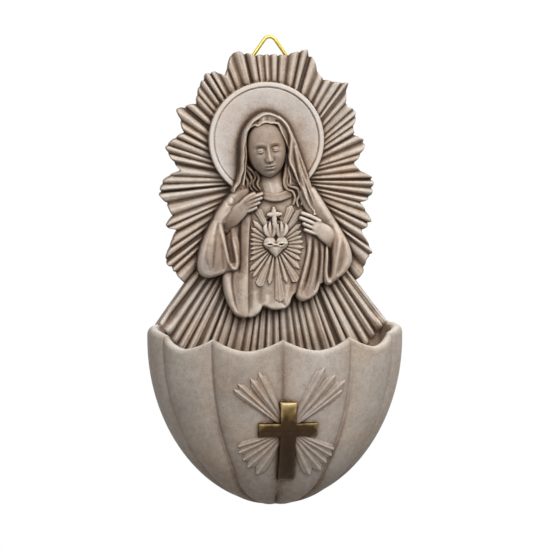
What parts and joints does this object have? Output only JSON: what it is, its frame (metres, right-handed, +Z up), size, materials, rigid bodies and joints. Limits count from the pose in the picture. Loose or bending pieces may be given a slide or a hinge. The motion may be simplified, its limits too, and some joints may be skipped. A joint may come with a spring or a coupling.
{
  "type": "holy water stoup",
  "caption": "Wall-hung holy water stoup: a sunburst plaque with a haloed figure in relief above a lobed basin, hung from a swinging wire ring on its back.",
  "frame": {"origin": "the point that the plaque's rays start from, on the flat back face that lies against the wall", "axes": "+Z up, +Y out of the back into the wall, the front looks along -Y"},
  "size_m": [0.1008, 0.0453, 0.1855],
  "materials": {
    "cast_resin_plaque": "cast stone resin with a brown antiquing wash in the grooves, satin-matt",
    "cast_resin_figure": "cast stone resin, rubbed-back ivory paint over a brown wash, satin-matt",
    "cast_resin_basin": "cast stone resin, greyer beige paint with a brown wash in the seams, satin-matt",
    "gilt_paint": "cast stone resin brushed with old-gold bronze paint",
    "brass_wire": "bright drawn wire",
    "brass_sheet": "bright pressed sheet",
    "screw_steel": "yellow-passivated steel"
  },
  "bodies": {
    "stoup": {"sunburst_plaque": "cast_resin_plaque", "halo_disc": "cast_resin_figure", "font_bowl": "cast_resin_basin", "ray_spray_upper_left": "cast_resin_figure", "ray_spray_upper_right": "cast_resin_figure", "ray_spray_lower_left": "cast_resin_figure", "ray_spray_lower_right": "cast_resin_figure", "mantle": "cast_resin_figure", "tunic": "cast_resin_figure", "neck_band": "cast_resin_figure", "head": "cast_resin_figure", "veil": "cast_resin_figure", "heart_rays": "cast_resin_figure", "heart": "cast_resin_figure", "flames_and_cross": "cast_resin_figure", "right_hand": "cast_resin_figure", "left_hand": "cast_resin_figure", "hair_left_lock": "cast_resin_figure", "hair_right_lock": "cast_resin_figure", "basin_cross": "gilt_paint", "hanger_strap": "brass_sheet", "hanger_screw": "screw_steel"},
    "ring": {"hanger_ring": "brass_wire"}
  },
  "joints": [
    {"name": "hanger_swing", "type": "hinge", "parent": "stoup", "child": "ring", "pos_m": [-0.0011, -0.002, 0.0399], "axis": [-1, 0, 0], "range_deg": [0, 165]}
  ]
}
